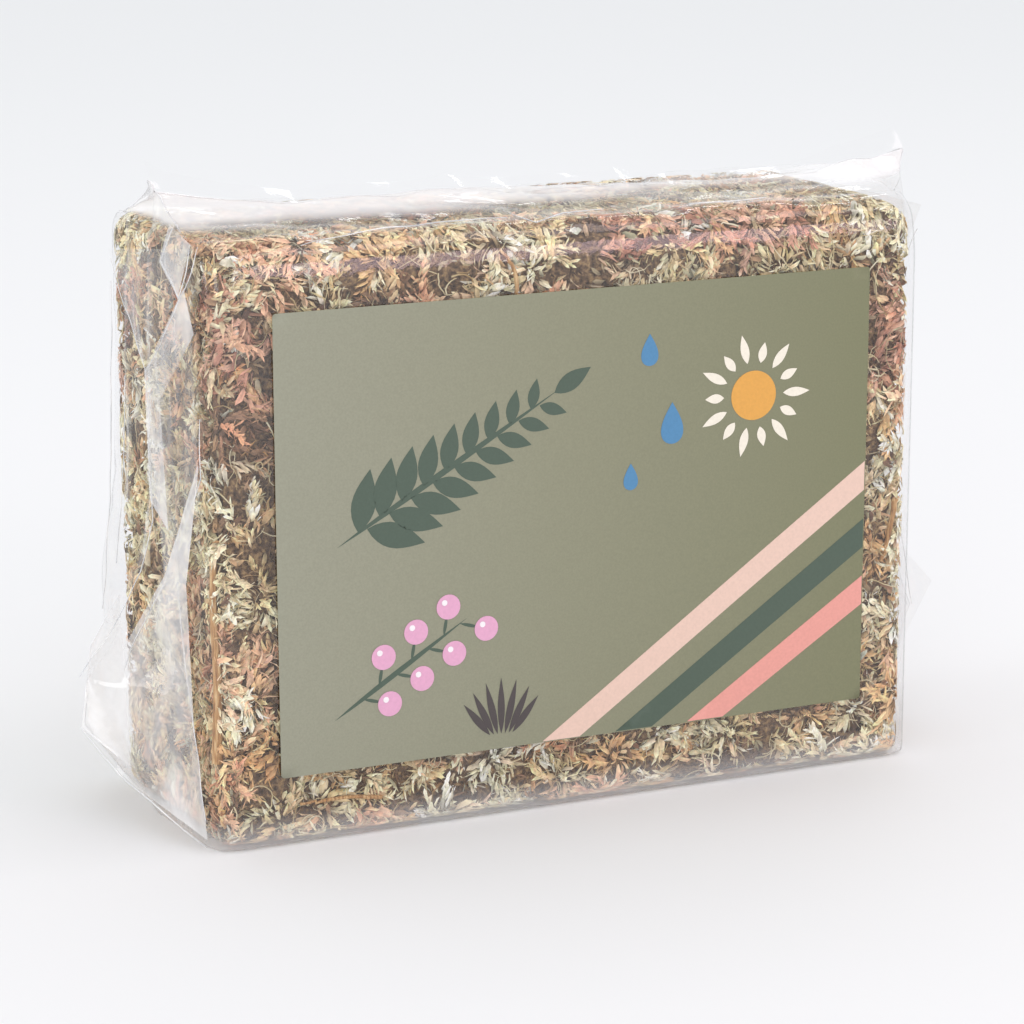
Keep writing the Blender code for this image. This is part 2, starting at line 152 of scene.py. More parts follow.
bm = bmesh.new()
bmesh.ops.create_cube(bm, size=2)
bmesh.ops.subdivide_edges(bm, edges=bm.edges[:], cuts=core_cells, use_grid_fill=True)
flat = np.array([v.co for v in bm.verts]) * block_half + block_centre
core, out, height = heights(flat)
rough = np.array([noise.noise(Vector(p) * 260) + 0.6 * noise.noise(Vector(p) * 620) for p in flat])
for v, p in zip(bm.verts, at_height(core, out, rough * core_roughness - core_depth)):
    v.co = p
core_mesh = bpy.data.meshes.new("moss_core")
bm.to_mesh(core_mesh)
bm.free()
moss_core = show("moss_core", core_mesh, peat)

# Stems and twigs: bits of woody stalk caught in the harvest, pressed against the film,
# with thin brown bark that has split and rubbed paler along its length.

stem_rings = 16
noise.seed_set(11)  # without this Blender seeds its vector noise from the clock

# Dry bark: brown, with paler streaks half a millimetre wide and four long that show the
# way the stalk grew.
bark, tree, shader = new_material("dry_bark", Roughness=0.62)
place = add_node(tree, "ShaderNodeTexCoord").outputs["Object"]
stretch = add_node(tree, "ShaderNodeMapping", [("Vector", place)])
stretch.inputs["Scale"].default_value = (1.0, 1.0, 0.12)
grain = add_node(tree, "ShaderNodeTexNoise", [("Vector", stretch.outputs["Vector"])], in_Scale=2200.0, in_Detail=3.0)
bark_colours = ramp(tree, grain.outputs["Fac"], ((0.3, "#875A30"), (0.5, "#B98A54"), (0.68, "#DDBD8C")))
tree.links.new(bark_colours.outputs["Color"], shader.inputs["Base Color"])
bump = add_node(tree, "ShaderNodeBump", [("Height", grain.outputs["Fac"])], in_Strength=0.8, in_Distance=0.0003)
tree.links.new(bump.outputs["Normal"], shader.inputs["Normal"])

curve = bpy.data.curves.new("woody_stems", "CURVE")
curve.dimensions = "3D"
curve.bevel_depth = 1.0
curve.bevel_resolution = 2
curve.use_fill_caps = True
stem_places = []
STEM_NODES = {"woody_stem": 0.0011, "red_twig": 0.0005, "brown_twig": 0.0006, "straw_stalk": 0.00045, "back_stem": 0.0008}
for node, radius in STEM_NODES.items():
    points = np.array([v.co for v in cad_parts[node].data.vertices])
    axis = np.linalg.svd(points - points.mean(axis=0), full_matrices=False)[2][0]
    share = (points - points.mean(axis=0)) @ axis
    edges = np.linspace(share.min() - 1e-6, share.max() + 1e-6, stem_rings + 1)
    rings = [points[(share >= low) & (share < high)] for low, high in zip(edges, edges[1:])]
    line = np.array([ring.mean(axis=0) for ring in rings if len(ring)])
    line += np.array([noise.noise_vector(Vector(p) * 90) for p in line]) * radius * 0.9
    if node == "woody_stem":
        line[:, 0] -= 0.0040
    core, out, height = heights(line)
    line = at_height(core, out, height * 0 - radius * 0.75)
    spline = curve.splines.new("POLY")
    spline.points.add(len(line) - 1)
    for n, p in enumerate(line):
        spline.points[n].co = (*p, 1)
        spline.points[n].radius = radius * (1.05 - 0.45 * n / len(line)) * (1 + 0.2 * noise.noise(Vector(p) * 400))
        stem_places.append((p, radius))
curve.materials.append(bark)
woody_stems = bpy.data.objects.new("woody_stems", curve)
bpy.context.scene.collection.objects.link(woody_stems)
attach(woody_stems, "root")
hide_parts(*STEM_NODES)

# Heads of dried sphagnum: short leafy shoots that grew in clusters and are pressed flat by
# the film. Real leaves are about 2 mm long; these are narrower, 2.4 mm on average and up to
# 4 mm, so coarser than real, and coarser still on the sides out of the photo's view.

head_spacing = 0.0077
leaf_length = 0.0031
leaves_on_shoot = {True: 24, False: 14}  # on the sides in view, and on the others
shoot_body = 0.00055
press_band = 0.0009  # what stands within this of the film is squeezed flat
label_low, label_high = (np.array(c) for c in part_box("label"))
dice = np.random.default_rng(11)

MOSS_COLOURS = {
    "straw": ("#FFF7D2", "#FFE1AD", "#FFFFEC", "#EDCA96", "#FFEEC3"),
    "buff": ("#FFD19C", "#FFE5BA", "#EDB87C", "#FFD7A9", "#F2BE87"),
    "rose": ("#D6A388", "#C38A6F", "#E6BB9F", "#AF755E", "#DDB093"),
    "brown": ("#9C7557", "#B48C6A", "#866046", "#C39B76", "#74533E"),
    "pinkish": ("#FFC8A5", "#FBB994", "#FFD6B1", "#F2AD85", "#FFD1A9"),
}


def leaf_shape(width, hollow, curl, twist, sway):
    """One leaf from a six-sided disc: base at the origin, tip along +Y, the outer side domed."""
    bm = bmesh.new()
    bmesh.ops.create_circle(bm, cap_ends=True, segments=6, radius=0.5)
    bmesh.ops.poke(bm, faces=bm.faces[:])
    for v in bm.verts:
        across, along = v.co.x, v.co.y + 0.5
        middle = abs(across) < 0.1 and 0.2 < along < 0.8
        v.co = (across * width * (0.85 if along < 0.5 else 1.05), 0, hollow * width if middle else 0)
        v.co = Matrix.Rotation(twist * along, 3, "Y") @ v.co
        v.co += Vector((sway * along * along, along - 0.25 * (curl * along) ** 2, -curl * along * along))
    points = np.array([v.co for v in bm.verts])
    faces = np.array([[v.index for v in f.verts] for f in bm.faces])
    bm.free()
    return points, faces


leaf_kinds = ((0.42, 0.40, 0.55, 0.3, 0.30), (0.34, 0.45, -0.35, -0.8, -0.50), (0.50, 0.40, 0.75, 0.5, 0.10),
              (0.28, 0.30, 0.40, 1.4, 0.60), (0.40, 0.40, 0.90, -0.4, -0.30), (0.18, 0.30, -0.55, -1.0, -0.70),
              (0.46, 0.45, 0.25, 1.0, 0.45), (0.22, 0.25, 0.85, 0.6, 0.25))
leaf_points = np.array([leaf_shape(*kind)[0] for kind in leaf_kinds])
leaf_faces = leaf_shape(*leaf_kinds[0])[1]
# Painted light on every leaf, vertex by vertex: painted shade darkens its foot and the hollow down its middle, and
# painted highlights lighten its rims and its tip.
along = leaf_points[2][:, 1]
painted_highlight_rim = np.abs(leaf_points[2][:, 0]) > 0.1
painted_leaf_light = np.where(along < 0.1, 0.42, np.where(painted_highlight_rim, np.where(along < 0.4, 0.92, 1.16), np.where(along > 0.7, 1.2, 0.74)))


def unit(vectors):
    return vectors / np.maximum(np.linalg.norm(vectors, axis=-1, keepdims=True), 1e-9)


def clothe(origin, forward, up, length, count, size, colour, gather):
    """Covers one shoot with leaves all round its upper side, and adds them to a batch."""
    t = np.linspace(0, 1, count)[:, None]
    side = np.cross(forward, up)
    bend = t * dice.normal(0, 1.1)
    heading = unit(forward * np.cos(bend) + side * np.sin(bend) + up * t * dice.uniform(-0.35, 0.2))
    spots = origin + np.cumsum(heading, axis=0) * length / count
    ups = unit(up - heading * (heading @ up)[:, None])
    sides = np.cross(heading, ups)
    turn = math.radians(128) * (2 * ((np.arange(count)[:, None] * 0.618034 + dice.random()) % 1) - 1)
    radial = sides * np.sin(turn) + ups * np.cos(turn)
    tilt = np.radians(dice.uniform(10, 44, (count, 1))) * (1 - 0.4 * t)
    out = heading * np.cos(tilt) + radial * np.sin(tilt)
    face = radial * np.cos(tilt) - heading * np.sin(tilt)
    across = np.cross(out, face)
    roll = dice.normal(0, 0.32, (count, 1))
    across, face = across * np.cos(roll) + face * np.sin(roll), face * np.cos(roll) - across * np.sin(roll)
    scale = (leaf_length * size * (1 - 0.38 * t) * dice.uniform(0.78, 1.22, (count, 1)))[:, :, None]
    gather["base"].append(spots + radial * shoot_body * (1 - 0.6 * t))
    gather["axes"].append(np.stack([across, out, face], axis=1) * scale)
    gather["kind"].append(dice.integers(0, len(leaf_kinds), count))
    gather["dye"].append(colour * dice.uniform(0.72, 1.40, (count, 1)) * dice.uniform(0.96, 1.04, (count, 3)))


def spread_spots(spacing, tries):
    """Places spots at random on all six sides of the block, none nearer than the spacing."""
    areas = np.array([block_half[(a + 1) % 3] * block_half[(a + 2) % 3] for a in (0, 0, 1, 1, 2, 2)])
    found = np.empty((0, 3))
    for side in dice.choice(6, tries, p=areas / areas.sum()):
        spot = dice.uniform(-1, 1, 3)
        spot[side // 2] = 1 - 2 * (side % 2)
        spot = spot * block_half + block_centre
        if not len(found) or np.linalg.norm(found - spot, axis=1).min() > spacing:
            found = np.vstack([found, spot])
    return found


moss_nodes = [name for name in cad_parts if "_moss_" in name or name == "moss_block"]
finder = KDTree(sum(len(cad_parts[name].data.vertices) for name in moss_nodes))
owners = []
for name in moss_nodes:
    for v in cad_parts[name].data.vertices:
        finder.insert(v.co, len(owners))
        owners.append(name)
finder.balance()


def side_name(out):
    """The side of the block that a place is on, for the names of the moss pieces."""
    axis = int(np.argmax(np.abs(out)))
    return (("left", "right"), ("front", "back"), ("underside", "top"))[axis][int(out[axis] > 0)]


def mixed(colours):
    """A colour between two of a moss's colours, as linear numbers."""
    first, second = (np.array(linear(colours[n])) for n in dice.integers(0, len(colours), 2))
    return first + (second - first) * dice.random()


head_spots = spread_spots(head_spacing, 9000)
core, head_outs, height = heights(head_spots)
batches = {}
for spot, out in zip(head_spots, head_outs):
    inset = 0.007
    behind = out[1] < -0.9 and np.all(np.abs(spot - (label_low + label_high) / 2)[[0, 2]]
                                      < (label_high - label_low)[[0, 2]] / 2 - inset)
    if behind:
        continue
    owner = owners[finder.find(Vector(spot))[1]]
    kind = owner.split("_")[0]
    if owner == "moss_block":
        patch = noise.noise(Vector(spot) * 60 + Vector((3.1, 0.7, 9.2))) + 0.3 * dice.uniform(-1, 1)
        kind = "straw" if patch > -0.04 else "buff" if patch > -0.26 else "pinkish"
        batch = f"block_moss_{side_name(out)}"
    else:
        batch = f"{kind}_moss_heads"
    gather = batches.setdefault(batch, {"base": [], "axes": [], "kind": [], "dye": []})
    seen = side_name(out) in ("left", "front", "top")
    first = unit(np.cross(out, dice.normal(0, 1, 3)))
    second = np.cross(out, first)
    sunk = 0.0010 + 0.0016 * max(0, noise.noise(Vector(spot) * 130))
    colour = mixed(MOSS_COLOURS[kind])
    build = dice.random()
    count = 5 if out[2] < -0.9 else int(dice.integers(7, 10))
    for n in range(count):
        if build < 0.36:
            angle = math.tau * n / count + dice.uniform(-0.3, 0.3)
            start = 0.0009
            shift = 0.0
        elif build < 0.80:
            angle = dice.uniform(-0.55, 0.55)
            start = dice.uniform(-0.0050, 0.0010)
            shift = 0.0095 * (n + 0.5) / count - 0.0048
        else:
            angle = dice.uniform(0, math.tau)
            start = dice.uniform(-0.004, 0.000)
            shift = dice.uniform(-0.002, 0.002)
        heading = first * math.cos(angle) + second * math.sin(angle)
        pitch = dice.uniform(-0.30, 0.04)
        forward = heading * math.cos(pitch) + out * math.sin(pitch)
        up = unit(out - forward * (forward @ out) + second * dice.uniform(-0.3, 0.3))
        depth = sunk + dice.uniform(0, 0.0013)
        origin = spot + heading * start + second * shift - out * depth
        other = kind if dice.random() < 0.62 else ("straw", "buff", "pinkish")[dice.integers(0, 3)]
        shade = colour * 0.3 + mixed(MOSS_COLOURS[other]) * 0.7
        clothe(origin, forward, up, dice.uniform(0.0058, 0.0092), leaves_on_shoot[seen],
               dice.uniform(0.82, 1.1) * (1.0 if seen else 1.25), shade, gather)
    if build < 0.36:
        clothe(spot - out * (sunk + 0.0016), out, first, 0.0026, 12, 0.8, colour * 0.95, gather)

# Crumbs between the heads: single broken leaves, rubbed off as the block was pressed and
# 0.35 to 0.8 times as bright as the moss colours, that fill the gaps and hide the peat.
crumb_spots = spread_spots(0.0030, 16000)
core, crumb_outs, height = heights(crumb_spots)
for spot, out in zip(crumb_spots, crumb_outs):
    gather = batches.setdefault("moss_crumbs", {"base": [], "axes": [], "kind": [], "dye": []})
    first = unit(np.cross(out, dice.normal(0, 1, 3)))
    shade = mixed(MOSS_COLOURS[("brown", "buff", "straw")[dice.integers(0, 3)]]) * dice.uniform(0.35, 0.8)
    clothe(spot - out * dice.uniform(0.0016, 0.0030), first, out, 0.0030, 4, 1.0, shade, gather)

# Dried leaf tissue: matt and papery, each leaf a little different in dye, with painted shade
# at its foot and down its middle, painted highlights on its rims and tip, and a mottle somewhat under a millimetre
# across.
moss_look, tree, shader = new_material("dried_sphagnum_leaf", Roughness=0.75)
dye = add_node(tree, "ShaderNodeAttribute", attribute_name="leaf_dye_and_painted_light")
place = add_node(tree, "ShaderNodeTexCoord").outputs["Object"]
mottle = add_node(tree, "ShaderNodeTexNoise", [("Vector", place)], in_Scale=1300.0, in_Detail=2.0)
mottle_range = add_node(
    tree, "ShaderNodeMapRange", [("Value", mottle.outputs["Fac"])], in_From_Min=0.3, in_From_Max=0.7, in_To_Min=0.80,
    in_To_Max=1.12,
)
dye_painted_light_and_mottle = add_node(tree, "ShaderNodeVectorMath", [(0, dye.outputs["Color"])], operation="SCALE")
tree.links.new(mottle_range.outputs["Result"], dye_painted_light_and_mottle.inputs["Scale"])
tree.links.new(dye_painted_light_and_mottle.outputs["Vector"], shader.inputs["Base Color"])
bump = add_node(tree, "ShaderNodeBump", [("Height", mottle.outputs["Fac"])], in_Strength=0.4, in_Distance=0.0002)
tree.links.new(bump.outputs["Normal"], shader.inputs["Normal"])


def squeeze(points):
    """Flattens what would stand through the film, as the tight bag does."""
    core, out, height = heights(points)
    squeezed = -press_band * np.exp(-(height + press_band) / press_band)
    return at_height(core, out, np.where(height > -press_band, squeezed, height))


def moss_piece(name, gather, nodes):
    """Builds one piece from a batch of leaves, each vertex carrying its leaf's dye and its painted shade and
    highlight.
    """
    base, axes, kind, dye = (np.concatenate(gather[key]) for key in ("base", "axes", "kind", "dye"))
    clear = np.ones(len(base), bool)
    for place, radius in stem_places:
        clear &= np.linalg.norm(base + axes[:, 1] * 0.5 - place, axis=1) > radius + 0.0006
    base, axes, kind, dye = base[clear], axes[clear], kind[clear], dye[clear]
    points = np.einsum("nvk,nkj->nvj", leaf_points[kind], axes) + base[:, None, :]
    faces = leaf_faces[None] + (np.arange(len(base)) * leaf_points.shape[1])[:, None, None]
    # Each vertex takes its leaf's dye times the painted shade and highlight of its place on the leaf.
    dyes_with_painted_light = np.clip(dye[:, None, :] * painted_leaf_light[None, :, None], 0, 1).reshape(-1, 3)
    points = squeeze(points.reshape(-1, 3))
    mesh = bpy.data.meshes.new(name)
    mesh.vertices.add(len(points))
    mesh.vertices.foreach_set("co", points.ravel())
    mesh.loops.add(faces.size)
    mesh.loops.foreach_set("vertex_index", faces.ravel())
    mesh.polygons.add(faces.size // 3)
    mesh.polygons.foreach_set("loop_start", np.arange(0, faces.size, 3))
    mesh.update(calc_edges=True)
    layer = mesh.attributes.new("leaf_dye_and_painted_light", "FLOAT_COLOR", "POINT")
    layer.data.foreach_set("color", np.hstack([dyes_with_painted_light, np.ones((len(dyes_with_painted_light), 1))]).ravel())
    made = show(name, mesh, moss_look)
    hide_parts(*nodes)
    print(name, faces.size // 3, "triangles")


for name, gather in sorted(batches.items()):
    if name.startswith("block") or name == "moss_crumbs":
        moss_piece(name, gather, ["moss_block"])
    else:
        colour = name.split("_")[0]
        wads = [node for node in moss_nodes if node.startswith(f"{colour}_moss_")]
        moss_piece(name, gather, wads)

# Loose fibres: pale bits of stem and curled threads of the same moss that lie over the
# heads, held down by the film. They are 0.14 to 0.42 mm thick, and finer ones are left out.

fibre_count = 2600
fibre_radius = 0.00010
fibre_look, tree, shader = new_material("dry_straw_fibre", Roughness=0.7)
place = add_node(tree, "ShaderNodeTexCoord").outputs["Object"]
patch = add_node(tree, "ShaderNodeTexNoise", [("Vector", place)], in_Scale=110.0, in_Detail=2.0)
fibre_colours = ramp(tree, patch.outputs["Fac"], ((0.34, "#A98C5C"), (0.5, "#D6C79C"), (0.66, "#EDE3C6")))
tree.links.new(fibre_colours.outputs["Color"], shader.inputs["Base Color"])

curve = bpy.data.curves.new("loose_fibres", "CURVE")
curve.dimensions = "3D"
curve.bevel_depth = fibre_radius
curve.bevel_resolution = 0
curve.use_fill_caps = True
for spot in dice.choice(head_spots, fibre_count) + dice.uniform(-0.005, 0.005, (fibre_count, 3)):
    steps = int(dice.integers(4, 14))
    step = dice.uniform(0.0005, 0.0011)
    curl = dice.normal(0, 0.18)
    heading = unit(dice.normal(0, 1, 3))
    lie = dice.uniform(0.0002, 0.0014)
    thick = dice.uniform(0.7, 2.1)
    spline = curve.splines.new("POLY")
    spline.points.add(steps - 1)
    for n in range(steps):
        core, out, height = heights(spot[None])
        out = out[0]
        spot = at_height(core, out[None], height * 0 - lie)[0]
        spline.points[n].co = (*spot, 1)
        spline.points[n].radius = thick * (1 - 0.6 * n / steps)
        heading = unit(heading - out * (heading @ out))
        curl += dice.normal(0, 0.09)
        turn = curl + dice.normal(0, 0.20)
        heading = heading * math.cos(turn) + np.cross(out, heading) * math.sin(turn)
        spot = spot + heading * step
        lie = min(max(lie + dice.uniform(-0.0003, 0.0003), 0.00015), 0.0020)
curve.materials.append(fibre_look)
loose_fibres = bpy.data.objects.new("loose_fibres", curve)
bpy.context.scene.collection.objects.link(loose_fibres)
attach(loose_fibres, "root")

# The bag: a clear polyethylene tube, tight on the front and back, gathered down its ends,
# with two pulled-out ears at the bottom and a low welded seal along the top.

bag_low, bag_high = (np.array(c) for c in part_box("bag"))
bag_front = bag_low[1]
bag_back = bag_high[1]
bag_middle = (bag_front + bag_back) / 2
bag_half = 0.0764
film_corner = 0.0048
film_up = 160
film_top = block_high[2] + 0.0007
film_foot = 0.00004
LEFT_CREASE = ((0.0, 0.0785), (0.010, 0.0870), (0.020, 0.0938), (0.0293, 0.0930), (0.037, 0.0860),
               (0.050, 0.0788), (0.064, 0.0778), (0.0895, 0.0777), (0.106, 0.0772), (0.125, 0.0770))
LEFT_BACK = ((0.0, 0.0764), (0.011, 0.0790), (0.020, 0.0825), (0.038, 0.0828), (0.046, 0.0822),
             (0.058, 0.0800), (0.068, 0.0792), (0.079, 0.0787), (0.094, 0.0783), (0.125, 0.0778))
RIGHT_CREASE = ((0.0, 0.0785), (0.012, 0.0870), (0.024, 0.0930), (0.036, 0.0885), (0.060, 0.0850),
                (0.090, 0.0850), (0.112, 0.0880), (0.125, 0.0870))
SEAL_LINE = ((-0.0772, 0.1250), (-0.070, 0.1236), (-0.0615, 0.1220), (-0.047, 0.1202), (-0.0406, 0.1210),
             (-0.0237, 0.1210), (-0.0133, 0.1214), (-0.0028, 0.1203), (0.0141, 0.1203), (0.022, 0.1205),
             (0.0337, 0.1188), (0.0468, 0.1184), (0.0598, 0.1192), (0.0729, 0.1216), (0.087, 0.1236))
FILM_COLUMNS = (110, 2, 2, 28, 28, 2, 2, 100, 2, 2, 28, 28, 2, 2)


def profile(table, place):
    places, values = zip(*table)
    return float(np.interp(place, places, values))


def film_outline(z):
    """The film's corner points at one height, anticlockwise from the front left corner."""
    left, back_left, right = profile(LEFT_CREASE, z), profile(LEFT_BACK, z), profile(RIGHT_CREASE, z)
    c = film_corner
    return np.array([
        (-bag_half + c, bag_front), (bag_half - c, bag_front), (bag_half - c * 0.3, bag_front + c * 0.22),
        (bag_half, bag_front + c), (right, bag_middle), (bag_half, bag_back - c),
        (bag_half - c * 0.3, bag_back - c * 0.22), (bag_half - c, bag_back), (-back_left + c, bag_back),
        (-back_left + c * 0.3, bag_back - c * 0.22), (-back_left, bag_back - c), (-left, bag_middle + 0.002),
        (-bag_half, bag_front + c), (-bag_half + c * 0.3, bag_front + c * 0.22), (-bag_half + c, bag_front),
    ])


def film_level(v):
    """Height and share of the half depth, from the bottom seam up the wall to the top seal."""
    corner, foot = film_corner, film_corner * 0.45
    inner, inner_foot = (1 - c / (bag_back - bag_middle) for c in (corner, foot))
    low, wall, high = 0.09, 0.15, 0.82
    if v < low:
        return film_foot, inner_foot * v / low, 0
    if v < wall:
        turn = (v - low) / (wall - low) * math.pi / 2
        return film_foot + foot * (1 - math.cos(turn)), inner_foot + (1 - inner_foot) * math.sin(turn), 0
    if v < high:
        return foot + (film_top - corner - foot) * (v - wall) / (high - wall), 1.0, 0
    edge = 0.06
    if v < high + edge:
        turn = (v - high) / edge * math.pi / 2
        return film_top - corner * (1 - math.sin(turn)), inner + (1 - inner) * math.cos(turn), 0
    t = (v - high - edge) / (1 - high - edge)
    return film_top, inner * (1 - t), t ** 1.4


def crests(point, scale=1.0):
    """Noise with sharp crests, for film that creases instead of waving."""
    return 1 - 2.4 * abs(noise.noise(point * scale))


def slack(p, roof, left_end, right_end):
    """How far the film stands off where it is not stretched tight."""
    tight = 0.00008 * crests(Vector((p.x * 30, p.y * 30, p.z * 16)))
    long_folds = 0.0007 * crests(Vector((p.x * 22 + p.y * 30, p.y * 95, 1.7)))
    long_folds += 0.0004 * crests(Vector((p.x * 75, p.y * 60, 5.1)))
    upright = 0.0009 * crests(Vector((3.3, p.y * 110, p.z * 24 + p.y * 40)))
    upright += 0.0003 * crests(Vector((p.z * 90, p.y * 120, 7.7)))
    return tight + roof * long_folds + max(left_end, right_end) * upright


bm = bmesh.new()
film_around = sum(FILM_COLUMNS)
bmesh.ops.create_grid(bm, x_segments=film_around, y_segments=film_up, size=0.5)
steps = np.concatenate([[0], np.cumsum(FILM_COLUMNS)])
for v in bm.verts:
    column = (v.co.x + 0.5) * film_around
    z, depth, roof = film_level(v.co.y + 0.5)
    outline = film_outline(z)
    x, y = (float(np.interp(column, steps, outline[:, a])) for a in (0, 1))
    z += roof * (profile(SEAL_LINE, x) - film_top)
    y = bag_middle + (y - bag_middle) * depth
    v.co = (x, y + leaned(y, z), z)
bmesh.ops.remove_doubles(bm, verts=bm.verts[:], dist=0.00001)
bmesh.ops.recalc_face_normals(bm, faces=bm.faces[:])
bm.normal_update()
moves = {}
for v in bm.verts:
    roof = min(max((v.co.z - film_top + 0.003) / 0.003, 0), 1)
    left_end = min(max((-v.co.x - 0.0755) / 0.004, 0), 1)
    right_end = min(max((v.co.x - 0.0755) / 0.004, 0), 1)
    moves[v] = v.normal * slack(v.co, roof, left_end, right_end) if v.co.z > 0.0006 else Vector()
for v, move in moves.items():
    v.co += move
    v.co.z = max(v.co.z, film_foot)
film_mesh = bpy.data.meshes.new("bag_film")
bm.to_mesh(film_mesh)
bm.free()


def clear_film(name, milk_share, streaks):
    """Polyethylene film: clear, mirroring the lamps along its creases, milky where it is rubbed."""
    made = bpy.data.materials.new(name)
    made.use_nodes = True
    tree = made.node_tree
    tree.nodes.clear()
    place = add_node(tree, "ShaderNodeTexCoord").outputs["Object"]
    crinkle = add_node(tree, "ShaderNodeTexNoise", [("Vector", place)], in_Scale=140.0, in_Detail=4.0)
    bump = add_node(tree, "ShaderNodeBump", [("Height", crinkle.outputs["Fac"])], in_Strength=0.35, in_Distance=0.0006)
    gloss = add_node(tree, "ShaderNodeBsdfPrincipled", [("Normal", bump.outputs["Normal"])], in_Roughness=0.09)
    gloss.inputs["Base Color"].default_value = (0.98, 0.98, 0.99, 1)
    gloss.inputs["Metallic"].default_value = 1.0
    milk = add_node(tree, "ShaderNodeBsdfPrincipled", in_Roughness=0.4)
    milk.inputs["Base Color"].default_value = (0.97, 0.96, 0.96, 1)
    clear = add_node(tree, "ShaderNodeBsdfTransparent")
    clear.inputs["Color"].default_value = (0.985, 0.985, 0.985, 1)
    facing = add_node(tree, "ShaderNodeLayerWeight", [("Normal", bump.outputs["Normal"])], in_Blend=0.5)
    grazing = add_node(tree, "ShaderNodeMath", [(0, facing.outputs["Facing"])], operation="POWER")
    grazing.inputs[1].default_value = 5.0
    mirror = add_node(
        tree, "ShaderNodeMapRange", [("Value", grazing.outputs[0])], in_To_Min=0.045, in_To_Max=0.85,
    )
    smear = add_node(tree, "ShaderNodeTexNoise", [("Vector", place)], in_Scale=streaks, in_Detail=5.0)
    haze = add_node(
        tree, "ShaderNodeMapRange", [("Value", smear.outputs["Fac"])], in_From_Min=0.40, in_From_Max=0.72,
        in_To_Min=milk_share * 0.5, in_To_Max=milk_share * 2.0,
    )
    hazy = add_node(
        tree, "ShaderNodeMixShader", [(0, haze.outputs["Result"]), (1, clear.outputs[0]), (2, milk.outputs[0])]
    )
    film_mix = add_node(
        tree, "ShaderNodeMixShader", [(0, mirror.outputs["Result"]), (1, hazy.outputs[0]), (2, gloss.outputs[0])]
    )
    add_node(tree, "ShaderNodeOutputMaterial", [("Surface", film_mix.outputs[0])])
    return made, tree, haze, hazy, place


# The tube's own film is haziest where it lies double or loose: on the roof, round the
# foot and in the pulled-out corners. On the roof the milk is partly a painted reflection of the lamps.
film_look, tree, haze, hazy, place = clear_film("clear_polyethylene", 0.018, 30.0)
split = add_node(tree, "ShaderNodeSeparateXYZ", [("Vector", place)])
total = haze.outputs["Result"]
for axis, start, end, most in (("Z", 0.1174, 0.1196, 0.70), ("Z", 0.008, 0.0005, 0.30), ("X", -0.0800, -0.0880, 0.08),
                               ("X", 0.0780, 0.0880, 0.10)):
    loose = add_node(
        tree, "ShaderNodeMapRange", [("Value", split.outputs[axis])], in_From_Min=start, in_From_Max=end,
        in_To_Min=0.0, in_To_Max=most, interpolation_type="SMOOTHSTEP",
    )
    total = add_node(tree, "ShaderNodeMath", [(0, total), (1, loose.outputs["Result"])], operation="ADD").outputs[0]
tree.links.new(total, hazy.inputs[0])
bag_film = show("bag_film", film_mesh, film_look)
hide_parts("bag")

# Folds of the bag's ends: where the tube is gathered, the same film lies two and three
# layers thick, so the flaps look milky; their creased edges shine as fine lines, drawn as painted highlights.

fold_cells = 26
fold_look = clear_film("folded_polyethylene", 0.30, 60.0)[0]
single_look = clear_film("single_polyethylene_flap", 0.015, 60.0)[0]
LEFT_FLAPS = {
    "gusset_flap": ((-0.0772, -0.0262, 0.1168), (-0.0784, 0.0225, 0.1100), (-0.0780, 0.0026, 0.0892),
                    (-0.0780, 0.0026, 0.0890)),
    "corner_pocket": ((-0.0774, -0.0130, 0.1196), (-0.0776, -0.0252, 0.1176), (-0.0784, -0.0200, 0.1070),
                      (-0.0782, -0.0085, 0.1120)),
    "front_pleat": ((-0.0774, -0.0240, 0.1080), (-0.0775, -0.0262, 0.0750), (-0.0782, -0.0067, 0.0500),
                    (-0.0780, 0.0020, 0.0890)),
    "gusset_edge": ((-0.0776, -0.0209, 0.1088), (-0.0776, -0.0262, 0.1010), (-0.0779, -0.0060, 0.0850),
                    (-0.0781, 0.0026, 0.0890)),
    "gusset_fold": ((-0.0781, 0.0026, 0.0890), (-0.0779, -0.0060, 0.0850), (-0.0779, -0.0090, 0.0600),
                    (-0.0782, 0.0010, 0.0640)),
    "pleat_top": ((-0.0775, -0.0267, 0.0760), (-0.0776, -0.0180, 0.0515), (-0.0784, -0.0075, 0.0510),
                  (-0.0775, -0.0262, 0.0765)),
    "pleat_middle": ((-0.0776, -0.0180, 0.0515), (-0.0775, -0.0200, 0.0250), (-0.0818, 0.0140, 0.0290),
                     (-0.0784, -0.0075, 0.0510)),
    "pleat_foot": ((-0.0775, -0.0200, 0.0250), (-0.0772, -0.0256, 0.0030), (-0.0850, 0.0060, 0.0080),
                   (-0.0818, 0.0140, 0.0290)),
    "ear_pleat": ((-0.0815, 0.0120, 0.0430), (-0.0850, -0.0030, 0.0120), (-0.0925, 0.0040, 0.0190),
                  (-0.0890, 0.0080, 0.0340)),
}
RIGHT_FLAPS = {
    "right_gusset_flap": ((0.0772, 0.0225, 0.1150), (0.0772, -0.0235, 0.1150), (0.0845, -0.0010, 0.0960),
                          (0.0845, -0.0010, 0.0958)),
    "right_foot_pleat": ((0.0790, 0.0120, 0.0520), (0.0775, 0.0250, 0.0060), (0.0840, 0.0000, 0.0060),
                         (0.0880, -0.0140, 0.0330)),
}


